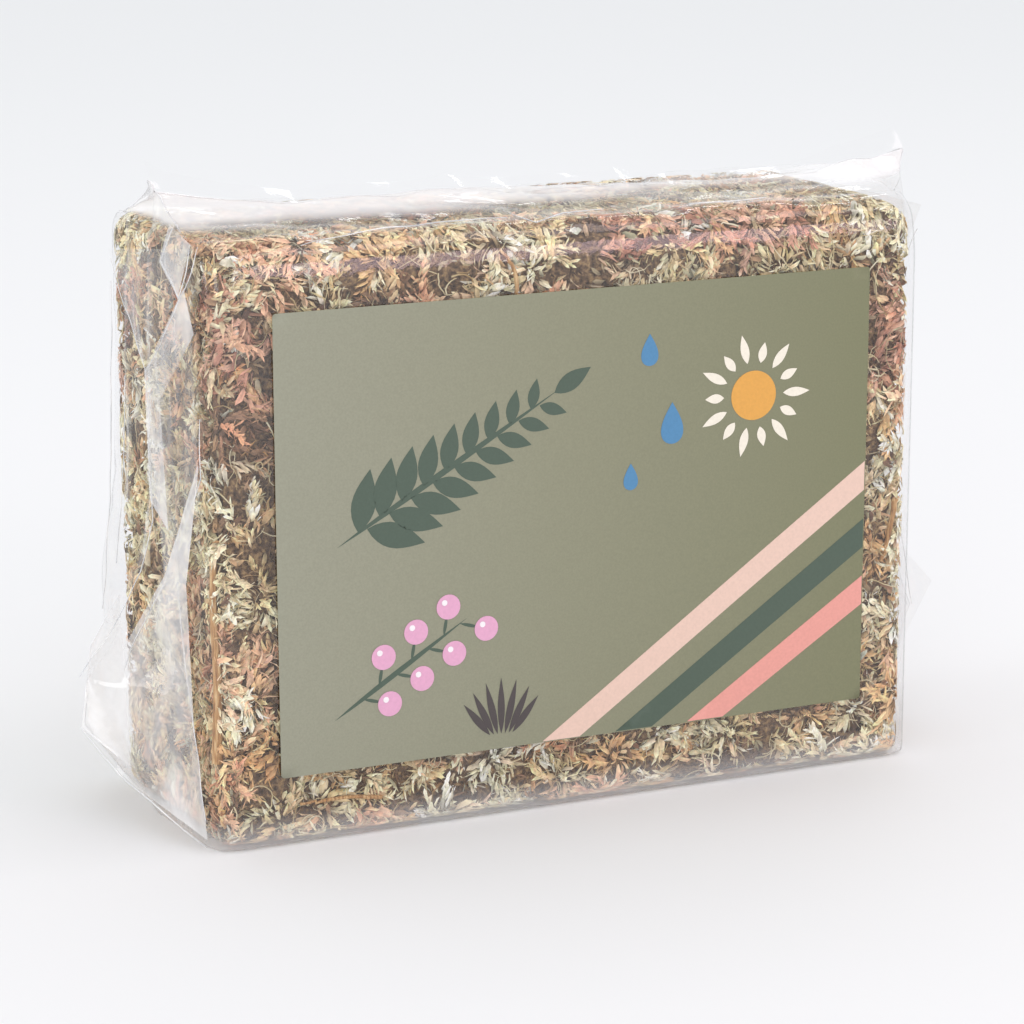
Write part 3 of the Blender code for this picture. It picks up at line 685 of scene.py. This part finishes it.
def film_flap(name, corners, outward, look):
    """A loose flap between four corners, bellied outwards and finely crumpled."""
    a, b, c, d = (Vector(p) for p in corners)
    bm = bmesh.new()
    bmesh.ops.create_grid(bm, x_segments=fold_cells, y_segments=fold_cells, size=0.5)
    for v in bm.verts:
        t, u = v.co.x + 0.5, v.co.y + 0.5
        p = a.lerp(b, t).lerp(d.lerp(c, t), u)
        belly = math.sin(math.pi * t) * math.sin(math.pi * u)
        ripple = crests(Vector((p.y * 150, p.z * 45, 2.2 + p.x * 40)))
        p.x += outward * (0.0006 + belly * (0.0004 + 0.0006 * ripple))
        v.co = p
    bmesh.ops.remove_doubles(bm, verts=bm.verts[:], dist=0.00001)
    mesh = bpy.data.meshes.new(name)
    bm.to_mesh(mesh)
    bm.free()
    show(name, mesh, look)


for flap_name, corners in LEFT_FLAPS.items():
    film_flap(flap_name, corners, -1, single_look if flap_name in ("gusset_flap", "front_pleat") else fold_look)
for flap_name, corners in RIGHT_FLAPS.items():
    film_flap(flap_name, corners, 1, single_look)

# The shining crease lines: thin whitish tubes along the folds and the top front edge, a painted highlight where the
# creases mirror the lamps, pale grey to white in a fine mottle.
crease_radius = 0.00013
crease_highlight_look, tree, shader = new_material("painted_crease_highlight", Roughness=0.2, Alpha=0.6)
place = add_node(tree, "ShaderNodeTexCoord").outputs["Object"]
rubbed = add_node(tree, "ShaderNodeTexNoise", [("Vector", place)], in_Scale=160.0, in_Detail=2.0)
painted_highlight_colours = ramp(tree, rubbed.outputs["Fac"], ((0.35, "#D9DCE0"), (0.65, "#FFFFFF")))
tree.links.new(painted_highlight_colours.outputs["Color"], shader.inputs["Base Color"])
CREASES = (
    ((-0.0788, 0.0212, 0.1082), (-0.0785, 0.0130, 0.0990), (-0.0783, 0.0026, 0.0890)),
    ((-0.0770, -0.0262, 0.1172), (-0.0779, -0.0209, 0.1088), (-0.0781, -0.0090, 0.0985), (-0.0783, 0.0026, 0.0890)),
    ((-0.0783, 0.0026, 0.0890), (-0.0783, 0.0018, 0.0714), (-0.0785, 0.0000, 0.0600), (-0.0800, 0.0040, 0.0490),
     (-0.0865, 0.0050, 0.0370), (-0.0935, 0.0035, 0.0293)),
    ((-0.0776, -0.0267, 0.0850), (-0.0777, -0.0262, 0.0737), (-0.0785, -0.0067, 0.0499), (-0.0820, 0.0060, 0.0330),
     (-0.0850, 0.0100, 0.0211)),
    ((-0.0790, 0.0205, 0.1040), (-0.0794, 0.0222, 0.0800), (-0.0804, 0.0215, 0.0600), (-0.0832, 0.0200, 0.0380)),
    ((-0.0786, 0.0150, 0.0860), (-0.0790, 0.0165, 0.0680), (-0.0812, 0.0160, 0.0480)),
    ((-0.0785, -0.0130, 0.0540), (-0.0783, -0.0180, 0.0300), (-0.0778, -0.0248, 0.0065)),
    ((-0.0938, 0.0025, 0.0200), (-0.0880, -0.0040, 0.0110), (-0.0800, -0.0180, 0.0030), (-0.0772, -0.0240, 0.0008)),
    ((-0.0776, -0.0140, 0.1196), (-0.0784, -0.0085, 0.1120), (-0.0788, -0.0200, 0.1068), (-0.0782, -0.0256, 0.1176)),
    ((-0.0560, -0.0238, 0.1156), (-0.0440, -0.0218, 0.1172), (-0.0300, -0.0212, 0.1178), (-0.0130, -0.0214, 0.1179)),
    ((-0.0105, -0.0180, 0.1181), (-0.0075, -0.0228, 0.1168), (-0.0010, -0.0212, 0.1179), (0.0080, -0.0200, 0.1181)),
    ((0.0260, -0.0214, 0.1179), (0.0370, -0.0208, 0.1179), (0.0440, -0.0200, 0.1181)),
    ((0.0780, -0.0220, 0.1100), (0.0852, -0.0010, 0.0955), (0.0856, 0.0000, 0.0600), (0.0925, 0.0000, 0.0240)),
)
curve = bpy.data.curves.new("crease_highlight_lines", "CURVE")
curve.dimensions = "3D"
curve.bevel_depth = crease_radius
curve.bevel_resolution = 1
curve.use_fill_caps = True
for crease in CREASES:
    spline = curve.splines.new("POLY")
    places = []
    for first, last in zip(crease, crease[1:]):
        places += [Vector(first).lerp(Vector(last), n / 12) for n in range(12)]
    places.append(Vector(crease[-1]))
    spline.points.add(len(places) - 1)
    for n, p in enumerate(places):
        shake = noise.noise_vector(p * 130) * 0.00035
        spline.points[n].co = (*(p + shake), 1)
        spline.points[n].radius = 0.5 + 0.5 * abs(noise.noise(p * 200)) + 0.4 * math.sin(math.pi * n / len(places))
curve.materials.append(crease_highlight_look)
crease_highlight_lines = bpy.data.objects.new("crease_highlight_lines", curve)
bpy.context.scene.collection.objects.link(crease_highlight_lines)
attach(crease_highlight_lines, "root")

# The top seal: the tube's two walls welded into a narrow fin that lies back over the
# bag, with an ear standing up at each end.

fin_width = 0.0042
fin_cells = (170, 6)
bm = bmesh.new()
bmesh.ops.create_grid(bm, x_segments=fin_cells[0], y_segments=fin_cells[1], size=0.5)
for v in bm.verts:
    t, up = v.co.x + 0.5, v.co.y + 0.5
    x = -0.0770 + 0.1645 * t
    lean = 1.15 + 0.25 * noise.noise(Vector((x * 60, 0, 2)))
    ear = 0.8 * math.exp(-t * 22) + 0.5 * math.exp((t - 1) * 16)
    rise = up * fin_width * (math.cos(lean) + ear)
    back = up * fin_width * math.sin(lean)
    ripple = 0.0004 * up * crests(Vector((x * 160, up * 0.6, 4.4)))
    v.co = (x, bag_middle + back + ripple, profile(SEAL_LINE, x) - 0.0003 + rise + ripple * 0.5)
fin_mesh = bpy.data.meshes.new("top_seal_fin")
bm.to_mesh(fin_mesh)
bm.free()
show("top_seal_fin", fin_mesh, single_look)

# The label: satin paper printed in sage green, stuck on the film. It bends very slightly
# with the block, and has a cut edge as thick as the paper.

label_thickness = 0.00012
label_corner = 0.0007
label_cells = 5


def bowed(x, z):
    """How far the label's face stands in front of the film as it follows the block."""
    return 0.00020 * noise.noise(Vector((x * 20, 0.4, z * 22)))


def rounded_outline(low_x, low_z, high_x, high_z, radius, steps=6):
    """The corner points of a rectangle with round corners, anticlockwise seen from the front."""
    points = []
    corners = ((high_x, low_z, -90), (high_x, high_z, 0), (low_x, high_z, 90), (low_x, low_z, 180))
    for x, z, start in corners:
        cx = x - radius if x == high_x else x + radius
        cz = z + radius if z == low_z else z - radius
        for n in range(steps + 1):
            angle = math.radians(start + 90 * n / steps)
            points.append((cx + radius * math.cos(angle), cz + radius * math.sin(angle)))
    return points


def sheet_mesh(name, outlines, stand, thickness=0.0):
    """A thin sheet cut to outlines, lying on the bowed face of the label."""
    bm = bmesh.new()
    for outline in outlines:
        bm.faces.new([bm.verts.new((x, 0, z)) for x, z in outline])
    bmesh.ops.triangulate(bm, faces=bm.faces[:])
    for _ in range(label_cells):
        long_edges = [e for e in bm.edges if e.calc_length() > 0.004]
        if not long_edges:
            break
        bmesh.ops.subdivide_edges(bm, edges=long_edges, cuts=1)
        bmesh.ops.triangulate(bm, faces=bm.faces[:])
    for v in bm.verts:
        v.co.y = label_high[1] - 0.00005 - stand - bowed(v.co.x, v.co.z)
    bm.normal_update()
    if bm.faces and sum(f.normal.y for f in bm.faces) > 0:
        bmesh.ops.reverse_faces(bm, faces=bm.faces[:])
    mesh = bpy.data.meshes.new(name)
    bm.to_mesh(mesh)
    bm.free()
    return mesh


# Satin paper: a matt olive ground, with a painted sheen that lightens it to grey-green towards the left.
# Its tooth is drawn 0.4 mm across, coarser than real, so that it shows at all.
paper_look, tree, shader = new_material("satin_label_paper", Roughness=0.46)
place = add_node(tree, "ShaderNodeTexCoord").outputs["Object"]
split = add_node(tree, "ShaderNodeSeparateXYZ", [("Vector", place)])
across = add_node(
    tree, "ShaderNodeMapRange", [("Value", split.outputs["X"])], in_From_Min=-0.0635, in_From_Max=0.0635,
)
# Olive is the paper's own colour; the lighter grey-green at the left end is painted sheen.
ground = ramp(tree, across.outputs["Result"], ((0.0, "#959583"), (0.45, "#8A8A73"), (1.0, "#7A7B5D")))
tooth = add_node(tree, "ShaderNodeTexNoise", [("Vector", place)], in_Scale=2600.0, in_Detail=2.0)
tone_range = add_node(
    tree, "ShaderNodeMapRange", [("Value", tooth.outputs["Fac"])], in_From_Min=0.3, in_From_Max=0.7,
    in_To_Min=0.95, in_To_Max=1.05,
)
toned = add_node(tree, "ShaderNodeMix", data_type="RGBA", blend_type="MULTIPLY")
toned.inputs["Factor"].default_value = 1.0
tree.links.new(ground.outputs["Color"], toned.inputs[6])
tree.links.new(tone_range.outputs["Result"], toned.inputs[7])
tree.links.new(toned.outputs[2], shader.inputs["Base Color"])
bump = add_node(tree, "ShaderNodeBump", [("Height", tooth.outputs["Fac"])], in_Strength=0.15, in_Distance=0.0001)
tree.links.new(bump.outputs["Normal"], shader.inputs["Normal"])

label_outline = rounded_outline(label_low[0], label_low[2], label_high[0], label_high[2], label_corner)
paper_label = show(
    "paper_label", sheet_mesh("paper_label", [label_outline], label_thickness), paper_look,
)
wall = paper_label.modifiers.new("paper", "SOLIDIFY")
wall.thickness = label_thickness
wall.offset = -1
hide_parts("label")

# The print on the label: flat inks in blush, cream and greens, laid on the paper as three
# straight stripes, a sprig, a sun, drops, a twig of berries and a tuft of grass.

ink_stand = 0.00003


def on_label(x, z):
    """A place on the label from millimetres right of and above its lower left corner."""
    return label_low[0] + x / 1000, label_low[2] + z / 1000


def disc(x, z, radius, steps=36):
    turns = [math.tau * n / steps for n in range(steps)]
    return [on_label(x + radius * math.cos(a), z + radius * math.sin(a)) for a in turns]


def leaf(x, z, length, width, degrees, steps=9):
    """A pointed leaf that starts at a place and lies at an angle."""
    turn = math.radians(degrees)
    sides = []
    for sign, order in ((1, range(steps + 1)), (-1, range(steps - 1, 0, -1))):
        for n in order:
            t = n / steps
            half = sign * width / 2 * math.sin(math.pi * t ** 0.85)
            sides.append(on_label(x + length * t * math.cos(turn) - half * math.sin(turn),
                                  z + length * t * math.sin(turn) + half * math.cos(turn)))
    return sides


def stripe(start, width, top, steps=14):
    """A straight stripe that climbs over the label's lower right corner."""
    lower = [on_label(start + (126.8 - start) * n / steps, 0.2 + top * n / steps) for n in range(steps + 1)]
    start, top = start - width * 1.35, top + width
    upper = [on_label(start + (126.8 - start) * n / steps, 0.2 + top * n / steps) for n in range(steps + 1)]
    return lower + upper[::-1]


def drop(x, z, size, steps=32):
    """A hanging drop, pointed at the top."""
    turns = [math.tau * n / steps for n in range(steps)]
    return [on_label(x + 0.79 * size * math.sin(a) * math.sin(a / 2) ** 1.2, z + size * math.cos(a)) for a in turns]


sprig_foot, sprig_turn = (12.0, 44.0), 30.0
sprig = []
for n in range(9):
    reach = 5.2 * (n + 1)
    x = sprig_foot[0] + reach * math.cos(math.radians(sprig_turn))
    z = sprig_foot[1] + reach * math.sin(math.radians(sprig_turn))
    size = 12.5 - 0.8 * n
    sprig.append(leaf(x, z, size, size * 0.40, sprig_turn + 48))
    sprig.append(leaf(x + 1.8, z + 0.6, size, size * 0.40, sprig_turn - 48))
sprig.append(leaf(sprig_foot[0] + 45.5, sprig_foot[1] + 26.2, 9, 3.6, sprig_turn))
stalk = leaf(*sprig_foot, 54, 1.3, sprig_turn)
sun_place, sun_radius, ray_count = (101.0, 66.0), 5.0, 14
rays = []
for n in range(ray_count):
    turn = math.tau * n / ray_count
    x = sun_place[0] + (sun_radius + 1.6) * math.cos(turn)
    z = sun_place[1] + (sun_radius + 1.6) * math.sin(turn)
    rays.append(leaf(x, z, 6.0 if n % 2 == 0 else 4.2, 1.9, math.degrees(turn)))
twig_foot, twig_turn, berry_reach = (11.0, 10.0), 32.0, 5.8
twig = [leaf(*twig_foot, 33, 1.1, twig_turn)]
berries, berry_shines = [], []
for n in range(7):
    reach = 7.0 + 4.0 * n
    aside = twig_turn + (48 if n % 2 else -48)
    x = twig_foot[0] + reach * math.cos(math.radians(twig_turn))
    z = twig_foot[1] + reach * math.sin(math.radians(twig_turn))
    twig.append(leaf(x, z, 4.6, 0.7, aside))
    x += berry_reach * math.cos(math.radians(aside))
    z += berry_reach * math.sin(math.radians(aside))
    berries.append(disc(x, z, 2.5, 24))
    berry_shines.append(disc(x - 0.8, z + 0.9, 0.6, 12))
grass = [leaf(46 + 0.8 * n, 3.0, 11.5 - 0.5 * abs(n) ** 1.5, 1.5, 90 - 13 * n) for n in range(-3, 4)]
INKS = (
    ("pale_blush_print", "#E3C4B4", 1, [stripe(63.0, 6.0, 44.0)]),
    ("deep_green_print", "#4C5C4F", 1, [stripe(79.0, 6.0, 32.0), *sprig, stalk, *twig]),
    ("blush_print", "#E39D92", 1, [stripe(95.0, 6.0, 20.0)]),
    ("cream_ray_print", "#EDE6D6", 2, rays),
    ("gold_sun_print", "#DDA24C", 2, [disc(*sun_place, sun_radius)]),
    ("blue_drop_print", "#4F86B0", 2, [drop(78, 77, 3.2), drop(83, 62, 4.2), drop(74, 52, 2.7)]),
    ("rose_berry_print", "#DFA6C4", 3, berries),
    ("berry_shine_print", "#F3EDF0", 4, berry_shines),
    ("dark_grass_print", "#4B4444", 2, grass),
)
# Flat printing ink: an even satin colour, with a slight speck half a millimetre across.
for ink_name, colour, layer, outlines in INKS:
    ink_look, tree, shader = new_material(ink_name, Roughness=0.42)
    place = add_node(tree, "ShaderNodeTexCoord").outputs["Object"]
    speck = add_node(tree, "ShaderNodeTexNoise", [("Vector", place)], in_Scale=1800.0, in_Detail=2.0)
    shade = ramp(tree, speck.outputs["Fac"], ((0.2, colour), (0.8, colour)))
    for element, factor in zip(shade.color_ramp.elements, (0.94, 1.05)):
        element.color = (*[min(c * factor, 1) for c in linear(colour)], 1)
    tree.links.new(shade.outputs["Color"], shader.inputs["Base Color"])
    show(ink_name, sheet_mesh(ink_name, outlines, label_thickness + ink_stand * layer), ink_look)

# Floor, light and camera: a plain pale floor in a bright room, five soft lamps of which
# the two on the left are the strongest, and the camera at the photo's angle.

floor_mesh = bpy.data.meshes.new("floor")
bm = bmesh.new()
bmesh.ops.create_grid(bm, x_segments=1, y_segments=1, size=4.0)
bm.to_mesh(floor_mesh)
bm.free()
floor_look, tree, shader = new_material("pale_floor", Roughness=0.8)
shader.inputs["Base Color"].default_value = (*linear("#ECEDEE"), 1)
floor_mesh.materials.append(floor_look)
floor = bpy.data.objects.new("floor", floor_mesh)
bpy.context.scene.collection.objects.link(floor)


def soft_light(name, place, size, watts, tint="#FFFFFF"):
    lamp = bpy.data.lights.new(name, "AREA")
    lamp.shape = "RECTANGLE"
    lamp.size, lamp.size_y = size
    lamp.energy = watts
    lamp.color = linear(tint)
    made = bpy.data.objects.new(name, lamp)
    made.location = place
    made.rotation_euler = (Vector((0, 0, 0.06)) - Vector(place)).to_track_quat("-Z", "Y").to_euler()
    bpy.context.scene.collection.objects.link(made)


soft_light("front_left", (-0.9, -1.4, 0.60), (0.6, 0.6), 3.6)
soft_light("left", (-1.5, 0.2, 0.35), (0.6, 0.5), 3.0)
soft_light("shoulder_glare", (0.60, -1.25, 0.62), (0.5, 0.3), 1.9, "#FFDDE8")
soft_light("overhead", (0.45, -0.30, 1.1), (0.70, 0.30), 1.5, "#FFEDF0")
soft_light("back_right", (0.62, 0.75, 1.05), (0.40, 0.04), 0.4)

world = bpy.data.worlds.new("pale_room")
world.use_nodes = True
world.node_tree.nodes["Background"].inputs["Color"].default_value = (0.965, 0.975, 0.99, 1)
world.node_tree.nodes["Background"].inputs["Strength"].default_value = 1.0
bpy.context.scene.world = world

camera_place = Vector((-0.2698, -0.5940, 0.2119))
camera_right = Vector((0.9117, -0.41087, -0.00233))
camera_up = Vector((0.0989, 0.21376, 0.97187))
camera_back = -Vector((0.3988, 0.88628, -0.23548))
lens = bpy.data.cameras.new("camera")
lens.sensor_width = 36
lens.lens = 116.1
lens.clip_start = 0.01
camera = bpy.data.objects.new("camera", lens)
camera.matrix_world = Matrix.Translation(camera_place) @ Matrix((camera_right, camera_up, camera_back)).transposed().to_4x4()
bpy.context.scene.collection.objects.link(camera)
bpy.context.scene.camera = camera
bpy.context.scene.view_settings.view_transform = "Standard"
bpy.context.scene.cycles.transparent_max_bounces = 24
